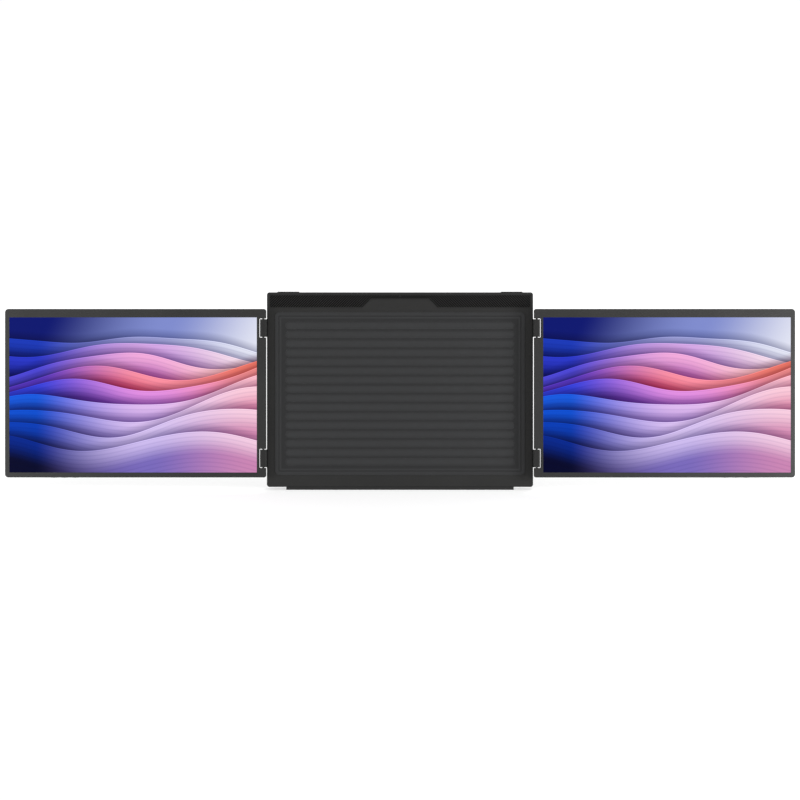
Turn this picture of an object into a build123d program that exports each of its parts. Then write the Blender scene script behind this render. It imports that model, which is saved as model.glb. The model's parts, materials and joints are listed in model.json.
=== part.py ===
from build123d import *
import os
from math import cos, radians, sin

os.makedirs("parts", exist_ok=True)

# A laptop screen extender: a flat body that a laptop's lid lies against, with a slotted band
# above the lid, and two side screens hinged to its sides. The body leans back on a rear kickstand.
#
# Sizes are in millimetres. Every place is given by x (to the viewer's right), depth (behind the
# body's mid plane, so the viewer's side is negative) and height (up the leaning panel, from the
# body's lower edge). The row frame has +Z up, and its origin is the middle of the underside of
# the rubber strip that the body stands on.

# ---------------------------------------------------------------- driving dimensions
lean = 12.0                     # degrees that the panel leans back
desk_clearance = 1.5            # lowest corner of the body above the desk

body_width = 351.2
body_depth = 12.0
body_corner_radius = 3.5
body_edge = 0.8                 # chamfer round the front and rear faces
front_wall = 1.5
rear_wall = 1.5
side_wall = 1.6
seam_depth = 1.0                # where the front cover meets the rear cover

screen_width = 344.6
screen_height = 222.3
screen_depth = 6.5
screen_below_top = 22.0         # from the body's top edge down to the screens' top edge
screen_above_bottom = 12.5      # from the body's lower edge up to the screens' lower edge
screen_outer_radius = 4.5
screen_inner_radius = 3.0
screen_edge = 0.5
side_gap = 0.8                  # between the body's side and a screen
bezel_top = 11.2
bezel_bottom = 6.6
bezel_outer = 5.8
bezel_inner = 12.5
bezel_thickness = 1.0
screen_rear_wall = 1.0
screen_side_wall = 1.4
panel_lap = 1.2                 # how far the panel reaches behind the bezel
panel_thickness = 1.4
backlight_thickness = 1.8
fold_gap = 0.8                  # between layers when the screens are folded shut

axis_from_body = 4.7            # hinge axis beside the body's side
axis_behind_front = 3.0         # hinge axis behind the screen's front
block_reach = 4.45              # from the hinge axis to the hinge block's outer side
block_half_depth = 3.15
block_corner_radius = 2.0
pin_radius = 1.5
pin_running = 0.05              # radial running clearance of a hinge pin in its block
pin_seat = 0.02                 # radial clearance of a pin in the bracket that holds it
hinge_height = 23.5             # height of one hinge block
hinge_inset = 13.4              # from a screen's top or bottom edge to its hinge block
hinge_end_gap = 0.8
hinge_swing_radius = 5.05       # the notch's wall stays this far from the axis
notch_corner_radius = 1.2
bracket_length = 8.0
bracket_width = 6.4
tongue_length = 25.0
tongue_height = 20.0
tongue_thickness = 2.0
ear_back = 3.0                  # depth where the ear along the body's side ends
ear_thickness = 2.5

band_top_margin = 2.9
band_side_margin = 3.1
band_height = 17.5
band_plain_drop = 6.2           # from the band's top to the plain trapezoid's top
band_plain_top_width = 76.7
grille_thickness = 0.9
grille_fit = 0.1
grille_ledge = 1.0              # ledge of the front cover that the grille rests on
slot_pitch = 3.33
slot_width = 1.95
slot_border = 0.5
slot_end_gap = 0.75             # from the plain trapezoid's slanted side to the slot beside it
mesh_thickness = 0.3
speaker_length = 44.0
speaker_width = 13.0
speaker_depth = 4.5
speaker_inset = 30.0            # from the body's side to a speaker's middle

pad_side_margin = 10.6
pad_below_top = 26.1            # from the body's top edge to the pad's top
pad_above_bottom = 15.7
pad_thickness = 0.8
pad_corner_radius = 6.0

magnet_radius = 7.5
magnet_thickness = 1.5
magnet_columns = 4
magnet_inset = 27.5             # from the pad's edges to the outer magnets' middles
chassis_thickness = 1.2
chassis_margin = 2.4            # between the chassis plate and the covers' side walls

top_foot_length = 29.0
top_foot_width = 9.0
top_foot_height = 1.0
top_foot_inset = 28.2           # from the body's side to a foot's middle
desk_foot_margin = 25.6         # from the body's side to the strip's end
desk_foot_front = -5.0          # depth of the strip's front edge
desk_foot_back = 2.8

hump_side_margin = 50.6         # from the body's side to the hump's end
hump_height = 47.0
hump_below_top = 4.8            # from the body's top edge to the hump's top
hump_rise = 8.0                 # how far the hump stands behind the rear face
hump_radius = 6.0
hump_edge = 2.5
board_thickness = 1.2
board_behind_seam = 5.0         # from the covers' seam to the main board's front face
board_margin = 2.2              # between the board's long edges and the hump's walls
board_screw_inset = 14.0        # from the board's ends to its outer screws
board_screw_edge = 4.0
chip_size = 14.0
chip_height = 1.3
chip_x = 26.0
cooling_length = 90.0
cooling_width = 24.0
cooling_base = 1.0
fin_height = 1.5
fin_pitch = 6.0
fin_count = 14
fin_thickness = 1.0
air_slot_length = 16.0
air_slot_width = 2.0
air_slot_pitch = 6.0
air_slot_count = 14

usb_height = 3.26
usb_width = 8.94
usb_offset = 9.0                # each USB-C socket from the board's middle line
hdmi_height = 3.2
hdmi_width = 11.2
socket_length = 7.3
socket_shell = 0.3
socket_back = 1.0               # closed end of a socket, and how far its tongue is set back
tongue_blade = 0.7              # thickness of the contact blade in a socket
usb_blade_width = 6.7
hdmi_blade_width = 8.4
socket_fit = 0.15
light_radius = 1.0
ribbon_thickness = 0.3
ribbon_width = 10.0

stand_axis_height = 150.0
stand_axis_depth = 4.2
stand_swing = 6.0               # degrees behind the plumb line at rest
leaf_side_margin = 55.6         # from the body's side to the leaf's side
leaf_thickness = 2.0
leaf_front_offset = 0.4         # the leaf's front face in front of its axis
leaf_gap = 0.6                  # between the leaf and its pocket, side to side
pocket_depth = 2.6
knuckle_gap = 0.2               # between a knuckle and the floor behind it
pocket_wall = 1.2
knuckle_radius = 2.2
knuckle_length = 30.0
knuckle_inset = 40.0            # from the leaf's side to a knuckle's middle
leaf_corner_radius = 4.0
stand_pin_radius = 1.2
stand_bracket_length = 8.0
stand_bracket_half_height = 3.5
stand_bracket_gap = 0.3         # between a bracket's end and the knuckle
stand_foot_radius = 1.3
stand_foot_height = 4.0

boss_radius = 2.5
boss_shoulder = 1.5             # ring round a boss that the chassis plate rests on
cover_screw_radius = 1.0
cover_screw_head_radius = 2.0
cover_screw_head_height = 1.2
cover_screw_reach = 4.0         # how far the screw goes into the front cover
cover_screw_gap = 4.5           # from a boss's shoulder to the body's side wall
lowest_screw_height = 10.0
screw_clearance = 0.05
head_clearance = 0.3

arm_screw_radius = 0.9
arm_screw_head_radius = 1.8
arm_screw_head_height = 0.8
arm_screw_offsets = (8.0, 18.0)  # from the body's side

screen_boss_radius = 1.5
screen_screw_radius = 0.7
screen_head_radius = 1.3
screen_head_height = 0.4
screen_screw_inner = 14.0       # from a screen's inner edge to its first screws
screen_screw_outer = 8.0
driver_length = 130.0
driver_width = 6.5
driver_thickness = 1.0
driver_inset = 25.0             # from a screen's inner edge to its driver board
driver_chip_length = 9.0
driver_chip_width = 4.5
driver_chip_pitch = 26.0
driver_chip_count = 5

button_length = 9.0
button_thickness = 2.4
button_edge = 0.2
button_proud = 0.15
button_travel = 0.4
button_fit = 0.15
button_pitch = 14.0
button_inset = 64.6             # from a screen's outer edge to its last button
flange_extra = 1.0
flange_thickness = 0.6
switch_gap = 0.15               # left between a pressed button and its switch
switch_width = 4.0
switch_depth = 2.2
key_board_margin = 6.0
key_board_gap = 0.2

# ---------------------------------------------------------------- worked-out places
body_height = screen_below_top + screen_height + screen_above_bottom
front = -body_depth / 2
rear = body_depth / 2
front_inner = front + front_wall
rear_inner = rear - rear_wall
half_width = body_width / 2
hump_width = body_width - 2 * hump_side_margin
leaf_width = body_width - 2 * leaf_side_margin
desk_foot_length = body_width - 2 * desk_foot_margin

screen_top = body_height - screen_below_top
screen_bottom = screen_above_bottom
screen_mid_height = (screen_top + screen_bottom) / 2
screen_inner_x = half_width + side_gap
screen_mid_x = screen_inner_x + screen_width / 2
lit_width = screen_width - bezel_outer - bezel_inner
lit_height = screen_height - bezel_top - bezel_bottom
lit_mid_x = screen_inner_x + bezel_inner + lit_width / 2
lit_mid_height = screen_bottom + bezel_bottom + lit_height / 2

pad_front = front - pad_thickness
left_axis_depth = pad_front - fold_gap - axis_behind_front
left_front = left_axis_depth - axis_behind_front
left_folded_back = left_axis_depth - (screen_depth - axis_behind_front)
right_axis_depth = left_folded_back - fold_gap - axis_behind_front
right_front = right_axis_depth - axis_behind_front
axis_x = half_width + axis_from_body
notch_depth = axis_x + hinge_swing_radius - screen_inner_x
hinge_heights = (
    screen_bottom + hinge_inset + hinge_height / 2,
    screen_top - hinge_inset - hinge_height / 2,
)

band_top = body_height - band_top_margin
band_bottom = band_top - band_height
band_mid_height = (band_top + band_bottom) / 2
band_width = body_width - 2 * band_side_margin
plain_half_top = band_plain_top_width / 2
plain_half_base = plain_half_top + band_height - band_plain_drop  # its sides slant like the slots

magnet_back = front_inner + magnet_thickness
chassis_back = magnet_back + chassis_thickness
tongue_back = chassis_back + tongue_thickness
hump_back = rear + hump_rise
hump_top = body_height - hump_below_top
hump_bottom = hump_top - hump_height
hump_inner = hump_back - side_wall
board_front = seam_depth + board_behind_seam
board_back = board_front + board_thickness
pocket_floor = rear - pocket_depth
knuckle_floor = stand_axis_depth - knuckle_radius - knuckle_gap
knuckle_x = leaf_width / 2 - knuckle_inset
top_foot_x = half_width - top_foot_inset
speaker_x = half_width - speaker_inset
pad_width = body_width - 2 * pad_side_margin
pad_height = body_height - pad_below_top - pad_above_bottom
pad_mid_height = pad_above_bottom + pad_height / 2

# screws of the covers: clear of the hinge tongues, of the kickstand's pocket and of the hump
screw_x = half_width - side_wall - boss_radius - boss_shoulder - cover_screw_gap
highest_screw_height = band_bottom - grille_ledge - boss_radius - boss_shoulder - grille_ledge
cover_screw_spots = [
    (x, height)
    for x in (-screw_x, screw_x)
    for height in (
        lowest_screw_height,
        (lowest_screw_height + highest_screw_height) / 2,
        highest_screw_height,
    )
]

# ---------------------------------------------------------------- the leaning frame
BACK = Vector(0, cos(radians(lean)), -sin(radians(lean)))
UP = Vector(0, sin(radians(lean)), cos(radians(lean)))
RIGHT = Vector(1, 0, 0)
edge_height = desk_clearance + rear * sin(radians(lean))
foot_mid_depth = (desk_foot_front + desk_foot_back) / 2
edge_y = (edge_height * sin(radians(lean)) - foot_mid_depth) / cos(radians(lean))
BASE = Vector(0, edge_y, edge_height)


def point(x, depth, height):
    """A point of the leaning panel, in the row frame."""
    return BASE + RIGHT * x + BACK * depth + UP * height


def face(depth):
    """Sketch plane along the panel: x right, y up; positive extrusions come to the front."""
    return Plane(origin=point(0, depth, 0), x_dir=RIGHT, z_dir=-BACK)


def level(height):
    """Sketch plane square to the panel: x right, y back; positive extrusions go up."""
    return Plane(origin=point(0, 0, height), x_dir=RIGHT, z_dir=UP)


def side_on(x):
    """Sketch plane seen from the side: x back, y up; positive extrusions go right."""
    return Plane(origin=point(x, 0, 0), x_dir=BACK, z_dir=RIGHT)


FORWARD = Axis(point(0, 0, 0), -BACK)
UPWARD = Axis(point(0, 0, 0), UP)


def save(piece, node):
    """Label a finished piece and write its STEP file."""
    piece.part.label = node
    export_step(piece.part, f"parts/{node}.step")


def body_outline(inset=0.0):
    """Face-on outline of the body, inset all round, drawn into the open sketch."""
    with Locations((0, body_height / 2)):
        RectangleRounded(
            body_width - 2 * inset, body_height - 2 * inset, body_corner_radius - inset
        )


def band_outline(grow=0.0):
    """Outline of the slotted band without the plain trapezoid in its middle, grown all round."""
    plain_top = band_top - band_plain_drop
    with BuildSketch(mode=Mode.PRIVATE) as band:
        with Locations((0, band_mid_height)):
            Rectangle(band_width, band_height)
        with BuildLine():
            Polyline(
                (-plain_half_base, band_bottom),
                (-plain_half_top, plain_top),
                (plain_half_top, plain_top),
                (plain_half_base, band_bottom),
                close=True,
            )
        make_face(mode=Mode.SUBTRACT)
        if grow:
            offset(amount=grow, kind=Kind.INTERSECTION)
    return band.sketch


def hump_outline(inset=0.0):
    """Outline of the hump behind the band, inset all round, drawn into the open sketch."""
    with Locations((0, (hump_top + hump_bottom) / 2)):
        RectangleRounded(
            hump_width - 2 * inset, hump_top - hump_bottom - 2 * inset, hump_radius - inset
        )


# ---------------------------------------------------------------- body: covers
with BuildPart() as front_cover:
    with BuildSketch(face(seam_depth)):
        body_outline()
    extrude(amount=seam_depth - front)
    chamfer(front_cover.faces().sort_by(FORWARD)[-1].edges(), body_edge)
    with BuildSketch(face(seam_depth)):
        body_outline(side_wall)
    extrude(amount=seam_depth - front_inner, mode=Mode.SUBTRACT)
    with BuildSketch(face(front + grille_thickness)):
        add(band_outline(grille_fit))
    extrude(amount=grille_thickness, mode=Mode.SUBTRACT)
    with BuildSketch(face(front_inner)):
        add(band_outline(-grille_ledge))
    extrude(amount=front_wall, mode=Mode.SUBTRACT)
    # bosses for the covers' screws, each with a shoulder that carries the chassis plate
    with BuildSketch(face(magnet_back)):
        with Locations(*cover_screw_spots):
            Circle(boss_radius + boss_shoulder)
    extrude(amount=magnet_back - front_inner)
    with BuildSketch(face(seam_depth)):
        with Locations(*cover_screw_spots):
            Circle(boss_radius)
    extrude(amount=seam_depth - front_inner)
    with BuildSketch(face(seam_depth)):
        with Locations(*cover_screw_spots):
            Circle(cover_screw_radius + screw_clearance)
    extrude(amount=cover_screw_reach + screw_clearance, mode=Mode.SUBTRACT)
    # slots in the side walls for the hinge tongues
    with BuildSketch(side_on(-half_width)):
        with Locations(*[((chassis_back + tongue_back) / 2, height) for height in hinge_heights]):
            Rectangle(tongue_thickness + 2 * grille_fit, tongue_height + 2 * grille_fit)
    extrude(amount=body_width, mode=Mode.SUBTRACT)
save(front_cover, "front_cover")

pocket_top = stand_axis_height + stand_bracket_half_height + leaf_gap
pocket_width = leaf_width + 2 * leaf_gap
recess_length = knuckle_length + 2 * (stand_bracket_gap + stand_bracket_length)
recess_bottom = stand_axis_height - stand_bracket_half_height - leaf_gap
board_width = hump_width - 2 * side_wall - 2 * grille_fit
board_height = hump_top - hump_bottom - 2 * side_wall - 2 * board_margin
board_mid_height = (hump_top + hump_bottom) / 2
board_screw_row = board_height / 2 - board_screw_edge
board_screw_spots = [
    (column * (board_width / 2 - board_screw_inset), board_mid_height + row * board_screw_row)
    for column in (-1, 0, 1)
    for row in (-1, 1)
]
usb_heights = (board_mid_height - usb_offset, board_mid_height + usb_offset)


def pocket_sketch(width, bottom, top):
    """A rectangle across the body's middle, from one height to another."""
    with Locations((0, (bottom + top) / 2)):
        Rectangle(width, top - bottom)


def recess_sketch(grow):
    """The two places where the stand's knuckles and brackets sit, grown all round."""
    with Locations(*[(x, (recess_bottom + pocket_top) / 2) for x in (-knuckle_x, knuckle_x)]):
        Rectangle(recess_length + 2 * grow, pocket_top - recess_bottom + 2 * grow)


with BuildPart() as rear_cover:
    with BuildSketch(face(rear)):
        body_outline()
    extrude(amount=rear - seam_depth)
    chamfer(rear_cover.faces().sort_by(FORWARD)[0].edges(), body_edge)
    with BuildSketch(face(hump_back)):
        hump_outline()
    extrude(amount=hump_rise)
    fillet(rear_cover.faces().sort_by(FORWARD)[0].edges(), hump_edge)
    with BuildSketch(face(rear_inner)):
        body_outline(side_wall)
    extrude(amount=rear_inner - seam_depth, mode=Mode.SUBTRACT)
    with BuildSketch(face(hump_inner)):
        hump_outline(side_wall)
    extrude(amount=hump_inner - seam_depth, mode=Mode.SUBTRACT)
    # pan behind the kickstand's pocket, then the pocket itself, open at the body's lower edge
    with BuildSketch(face(rear_inner)):
        pocket_sketch(pocket_width + 2 * pocket_wall, 0, pocket_top + pocket_wall)
    extrude(amount=rear_inner - pocket_floor + pocket_wall)
    with BuildSketch(face(rear_inner)):
        recess_sketch(pocket_wall)
    extrude(amount=rear_inner - knuckle_floor + pocket_wall)
    with BuildSketch(face(rear)):
        pocket_sketch(pocket_width, -body_edge, pocket_top)
    extrude(amount=pocket_depth, mode=Mode.SUBTRACT)
    with BuildSketch(face(rear)):
        recess_sketch(0)
    extrude(amount=rear - knuckle_floor, mode=Mode.SUBTRACT)
    # bosses of the covers' screws and of the main board
    with BuildSketch(face(rear_inner)):
        with Locations(*cover_screw_spots):
            Circle(boss_radius)
    extrude(amount=rear_inner - seam_depth)
    with BuildSketch(face(rear)):
        with Locations(*cover_screw_spots):
            Circle(cover_screw_radius + screw_clearance)
    extrude(amount=rear - seam_depth, mode=Mode.SUBTRACT)
    with BuildSketch(face(rear)):
        with Locations(*cover_screw_spots):
            Circle(cover_screw_head_radius + head_clearance)
    extrude(amount=cover_screw_head_height + head_clearance, mode=Mode.SUBTRACT)
    with BuildSketch(face(hump_inner)):
        with Locations(*board_screw_spots):
            Circle(boss_radius)
    extrude(amount=hump_inner - board_back)
    with BuildSketch(face(board_back + cover_screw_reach)):
        with Locations(*board_screw_spots):
            Circle(cover_screw_radius + screw_clearance)
    extrude(amount=cover_screw_reach, mode=Mode.SUBTRACT)
    # mouths of the sockets and of the status light in the hump's ends
    socket_depth = board_back + usb_height / 2
    with BuildSketch(side_on(-hump_width / 2)):
        with Locations(*[(socket_depth, height) for height in usb_heights]):
            SlotOverall(usb_width + 2 * socket_fit, usb_height + 2 * socket_fit, rotation=90)
        with Locations((socket_depth, board_mid_height)):
            Circle(light_radius + socket_fit)
    extrude(amount=side_wall, mode=Mode.SUBTRACT)
    with BuildSketch(side_on(hump_width / 2)):
        with Locations((board_back + hdmi_height / 2, board_mid_height)):
            Rectangle(hdmi_height + 2 * socket_fit, hdmi_width + 2 * socket_fit)
    extrude(amount=-side_wall, mode=Mode.SUBTRACT)
    # air slots through the hump's rear face
    with BuildSketch(face(hump_back)):
        with Locations((-hump_width / 4, board_mid_height), (hump_width / 4, board_mid_height)):
            with GridLocations(air_slot_pitch, 1, air_slot_count, 1):
                SlotOverall(air_slot_length, air_slot_width, rotation=90)
    extrude(amount=side_wall, mode=Mode.SUBTRACT)
save(rear_cover, "rear_cover")

# ---------------------------------------------------------------- body: slotted band
# slots at 45 degrees, spaced from the one that runs along the plain trapezoid's side
slot_start = (plain_half_base + slot_end_gap + slot_width) % slot_pitch
slot_count = int((band_width / 2 + band_height) / slot_pitch) + 1
with BuildPart() as vent_grille:
    with BuildSketch(face(front + grille_thickness)):
        add(band_outline())
    extrude(amount=grille_thickness)
    with BuildSketch(face(front + grille_thickness)) as slots:
        with Locations(*[(-slot_start - slot_pitch * k, band_bottom) for k in range(slot_count)]):
            Polygon(
                (0, 0),
                (slot_width, 0),
                (slot_width + band_height, band_height),
                (band_height, band_height),
                align=None,
            )
        with Locations((-band_width / 4 - slot_border / 2, band_mid_height)):
            Rectangle(band_width / 2 - slot_border, band_height, mode=Mode.INTERSECT)
        add(band_outline(-slot_border), mode=Mode.INTERSECT)
        mirror(about=Plane.YZ)
    extrude(amount=grille_thickness, mode=Mode.SUBTRACT)
save(vent_grille, "vent_grille")

with BuildPart() as grille_mesh:
    with BuildSketch(face(front_inner + mesh_thickness)):
        add(band_outline())
    extrude(amount=mesh_thickness)
save(grille_mesh, "grille_mesh")

with BuildPart() as speakers:
    with BuildSketch(face(front_inner + mesh_thickness + speaker_depth)):
        with Locations((-speaker_x, band_mid_height), (speaker_x, band_mid_height)):
            SlotOverall(speaker_length, speaker_width)
    extrude(amount=speaker_depth)
save(speakers, "speakers")

# ---------------------------------------------------------------- body: feet, pad and magnets
with BuildPart() as top_feet:
    with BuildSketch(level(body_height)):
        with Locations((-top_foot_x, 0), (top_foot_x, 0)):
            RectangleRounded(top_foot_length, top_foot_width, top_foot_height)
    extrude(amount=top_foot_height)
    chamfer(top_feet.faces().filter_by(UPWARD).group_by(UPWARD)[-1].edges(), top_foot_height * 0.6)
save(top_feet, "top_feet")

with BuildPart() as desk_foot:
    with BuildSketch(side_on(-desk_foot_length / 2)):
        with BuildLine():
            slope = sin(radians(lean)) / cos(radians(lean))
            drop = edge_height / cos(radians(lean))
            Polyline(
                (desk_foot_front, 0),
                (desk_foot_back, 0),
                (desk_foot_back, desk_foot_back * slope - drop),
                (desk_foot_front, desk_foot_front * slope - drop),
                close=True,
            )
        make_face()
    extrude(amount=desk_foot_length)
save(desk_foot, "desk_foot")

with BuildPart() as lid_pad:
    with BuildSketch(face(front)):
        with Locations((0, pad_mid_height)):
            RectangleRounded(pad_width, pad_height, pad_corner_radius)
    extrude(amount=pad_thickness)
save(lid_pad, "lid_pad")

magnet_pitch = (pad_width - 2 * magnet_inset) / (magnet_columns - 1)
with BuildPart() as lid_magnets:
    with BuildSketch(face(magnet_back)):
        with Locations((0, pad_mid_height)):
            with GridLocations(magnet_pitch, pad_height - 2 * magnet_inset, magnet_columns, 2):
                Circle(magnet_radius)
    extrude(amount=magnet_thickness)
save(lid_magnets, "lid_magnets")

# ---------------------------------------------------------------- body: chassis and boards
chassis_width = body_width - 2 * side_wall - 2 * chassis_margin
chassis_bottom = side_wall + chassis_margin
chassis_top = band_bottom - grille_ledge
arm_screw_spots = [
    (side * (half_width - offset), height)
    for side in (-1, 1)
    for offset in arm_screw_offsets
    for height in hinge_heights
]

with BuildPart() as chassis_plate:
    with BuildSketch(face(chassis_back)):
        with Locations((0, (chassis_bottom + chassis_top) / 2)):
            RectangleRounded(chassis_width, chassis_top - chassis_bottom, body_corner_radius)
        with Locations(*cover_screw_spots):
            Circle(boss_radius + head_clearance, mode=Mode.SUBTRACT)
        with Locations(*arm_screw_spots):
            Circle(arm_screw_radius + screw_clearance, mode=Mode.SUBTRACT)
    extrude(amount=chassis_thickness)
save(chassis_plate, "chassis_plate")

with BuildPart() as main_board:
    with BuildSketch(face(board_back)):
        with Locations((0, board_mid_height)):
            RectangleRounded(board_width, board_height, hump_radius)
        with Locations(*board_screw_spots):
            Circle(cover_screw_radius + screw_clearance, mode=Mode.SUBTRACT)
    extrude(amount=board_thickness)
    with BuildSketch(face(board_front)):
        with Locations((-chip_x, board_mid_height), (chip_x, board_mid_height)):
            Rectangle(chip_size, chip_size)
    extrude(amount=chip_height)
save(main_board, "main_board")

with BuildPart() as cooling_plate:
    with BuildSketch(face(board_front - chip_height)):
        with Locations((0, board_mid_height)):
            Rectangle(cooling_length, cooling_width)
    extrude(amount=cooling_base)
    with BuildSketch(face(board_front - chip_height - cooling_base)):
        with Locations((0, board_mid_height)):
            with GridLocations(fin_pitch, 1, fin_count, 1):
                Rectangle(fin_thickness, cooling_width)
    extrude(amount=fin_height)
save(cooling_plate, "cooling_plate")

with BuildPart() as board_screws:
    with BuildSketch(face(board_front)):
        with Locations(*board_screw_spots):
            Circle(cover_screw_head_radius)
    extrude(amount=cover_screw_head_height)
    with BuildSketch(face(board_front)):
        with Locations(*board_screw_spots):
            Circle(cover_screw_radius)
    extrude(amount=-cover_screw_reach)
save(board_screws, "board_screws")

blade_length = socket_length - 1.5 * socket_back
with BuildPart() as usb_c_sockets:
    with BuildSketch(side_on(-hump_width / 2)):
        with Locations(*[(socket_depth, height) for height in usb_heights]):
            SlotOverall(usb_width, usb_height, rotation=90)
    extrude(amount=socket_length)
    with BuildSketch(side_on(-hump_width / 2)):
        with Locations(*[(socket_depth, height) for height in usb_heights]):
            SlotOverall(usb_width - 2 * socket_shell, usb_height - 2 * socket_shell, rotation=90)
    extrude(amount=socket_length - socket_back, mode=Mode.SUBTRACT)
    with BuildSketch(side_on(-hump_width / 2 + socket_back)):
        with Locations(*[(socket_depth, height) for height in usb_heights]):
            Rectangle(tongue_blade, usb_blade_width)
    extrude(amount=blade_length)
save(usb_c_sockets, "usb_c_sockets")

with BuildPart() as mini_hdmi_socket:
    hdmi_depth = board_back + hdmi_height / 2
    with BuildSketch(side_on(hump_width / 2)):
        with Locations((hdmi_depth, board_mid_height)):
            Rectangle(hdmi_height, hdmi_width)
    extrude(amount=-socket_length)
    with BuildSketch(side_on(hump_width / 2)):
        with Locations((hdmi_depth, board_mid_height)):
            Rectangle(hdmi_height - 2 * socket_shell, hdmi_width - 2 * socket_shell)
    extrude(amount=socket_back - socket_length, mode=Mode.SUBTRACT)
    with BuildSketch(side_on(hump_width / 2 - socket_back)):
        with Locations((hdmi_depth, board_mid_height)):
            Rectangle(tongue_blade, hdmi_blade_width)
    extrude(amount=-blade_length)
save(mini_hdmi_socket, "mini_hdmi_socket")

with BuildPart() as status_light:
    with BuildSketch(side_on(-hump_width / 2)):
        with Locations((socket_depth, board_mid_height)):
            Circle(light_radius)
    extrude(amount=socket_length)
    with BuildSketch(side_on(-hump_width / 2 + side_wall + socket_fit)):
        with Locations(((board_back + socket_depth) / 2, board_mid_height)):
            Rectangle(socket_depth - board_back, 2 * light_radius)
    extrude(amount=socket_length - side_wall - socket_fit)
save(status_light, "status_light")

# ---------------------------------------------------------------- body: hinge arms
def make_hinge_arms(side, axis_depth):
    """The two hinge blocks of one side, each with an ear along the body's side and a tongue."""
    body_x = axis_from_body
    with BuildPart() as arms:
        for height in hinge_heights:
            with BuildSketch(level(height - hinge_height / 2)):
                with Locations((side * axis_x, axis_depth)):
                    RectangleRounded(2 * block_reach, 2 * block_half_depth, block_corner_radius)
                    Polygon(
                        (0, -block_half_depth),
                        (-side * body_x, 0),
                        (-side * body_x, ear_back - axis_depth),
                        (-side * (body_x - ear_thickness), ear_back - axis_depth),
                        (side * block_reach, (front - axis_depth) * 0.75),
                        (side * block_reach, 0),
                        align=None,
                    )
                    Circle(pin_radius + pin_running, mode=Mode.SUBTRACT)
            extrude(amount=hinge_height)
        with BuildSketch(face(tongue_back)):
            with Locations(*[(side * (half_width - tongue_length / 2), h) for h in hinge_heights]):
                Rectangle(tongue_length, tongue_height)
        extrude(amount=tongue_thickness)
        with BuildSketch(face(tongue_back)):
            with Locations(*[spot for spot in arm_screw_spots if spot[0] * side > 0]):
                Circle(arm_screw_radius + screw_clearance)
        extrude(amount=tongue_thickness, mode=Mode.SUBTRACT)
    return arms


save(make_hinge_arms(-1, left_axis_depth), "left_hinge_arms")
save(make_hinge_arms(1, right_axis_depth), "right_hinge_arms")

with BuildPart() as hinge_arm_screws:
    with BuildSketch(face(tongue_back + arm_screw_head_height)):
        with Locations(*arm_screw_spots):
            Circle(arm_screw_head_radius)
    extrude(amount=arm_screw_head_height)
    with BuildSketch(face(tongue_back)):
        with Locations(*arm_screw_spots):
            Circle(arm_screw_radius)
    extrude(amount=tongue_thickness + chassis_thickness)
save(hinge_arm_screws, "hinge_arm_screws")

with BuildPart() as cover_screws:
    screw_seat = rear - cover_screw_head_height - head_clearance
    with BuildSketch(face(screw_seat + cover_screw_head_height)):
        with Locations(*cover_screw_spots):
            Circle(cover_screw_head_radius)
            RegularPolygon(cover_screw_radius, 6, mode=Mode.SUBTRACT)
    extrude(amount=cover_screw_head_height)
    with BuildSketch(face(screw_seat)):
        with Locations(*cover_screw_spots):
            Circle(cover_screw_radius)
    extrude(amount=screw_seat - seam_depth + cover_screw_reach)
save(cover_screws, "cover_screws")

# ribbon cables from the main board to the upper hinge tongues
ribbon_start = board_width / 2 - board_screw_inset + cover_screw_head_radius + ribbon_thickness
ribbon_end = half_width - tongue_length
with BuildPart() as flat_cables:
    with BuildSketch(level(hump_bottom + side_wall + board_margin)):
        with BuildLine():
            Polyline(
                (ribbon_start, board_front - ribbon_thickness / 2),
                (ribbon_start + ribbon_width / 2, board_front - ribbon_thickness / 2),
                (board_width / 2, tongue_back + ribbon_thickness / 2),
                (ribbon_end + 2 * ribbon_thickness, tongue_back + ribbon_thickness / 2),
            )
            offset(amount=ribbon_thickness / 2, side=Side.BOTH)
        make_face()
        mirror(about=Plane.YZ)
    extrude(amount=ribbon_width)
save(flat_cables, "flat_cables")


# ---------------------------------------------------------------- side screens
def screen_outline(side, inset=0.0):
    """Face-on outline of one side screen with its hinge notches, inset all round."""
    outer = -1 if side > 0 else 0
    inner = 0 if side > 0 else -1
    with BuildSketch(mode=Mode.PRIVATE) as outline:
        with Locations((side * screen_mid_x, screen_mid_height)):
            Rectangle(screen_width - 2 * inset, screen_height - 2 * inset)
        fillet(outline.vertices().group_by(Axis.X)[outer], screen_outer_radius - inset)
        fillet(outline.vertices().group_by(Axis.X)[inner], screen_inner_radius - inset)
        with Locations(*[(side * screen_inner_x, height) for height in hinge_heights]):
            RectangleRounded(
                2 * (notch_depth + inset),
                hinge_height + 2 * (hinge_end_gap + inset),
                notch_corner_radius + inset,
                mode=Mode.SUBTRACT,
            )
    return outline.sketch


def from_inner(side, distance):
    """The x of a place at a distance from a screen's inner edge."""
    return side * (screen_inner_x + distance)


# screws near each screen's corners and middle, in the strips above and below the panel
upper_strip = screen_top - (screen_side_wall + bezel_top - panel_lap) / 2
lower_strip = screen_bottom + (screen_side_wall + bezel_bottom - panel_lap) / 2
screen_screw_places = [
    (distance, height)
    for distance in (screen_screw_inner, screen_width / 2, screen_width - screen_screw_outer)
    for height in (lower_strip, upper_strip)
]

button_distances = {
    "power": screen_width - button_inset - 2 * button_pitch,
    "plus": screen_width - button_inset - button_pitch,
    "minus": screen_width - button_inset,
}
button_behind_front = (bezel_thickness + screen_depth - screen_rear_wall) / 2
flange_top = screen_bottom + screen_side_wall + flange_thickness
switch_bottom = flange_top + button_travel + switch_gap


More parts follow.
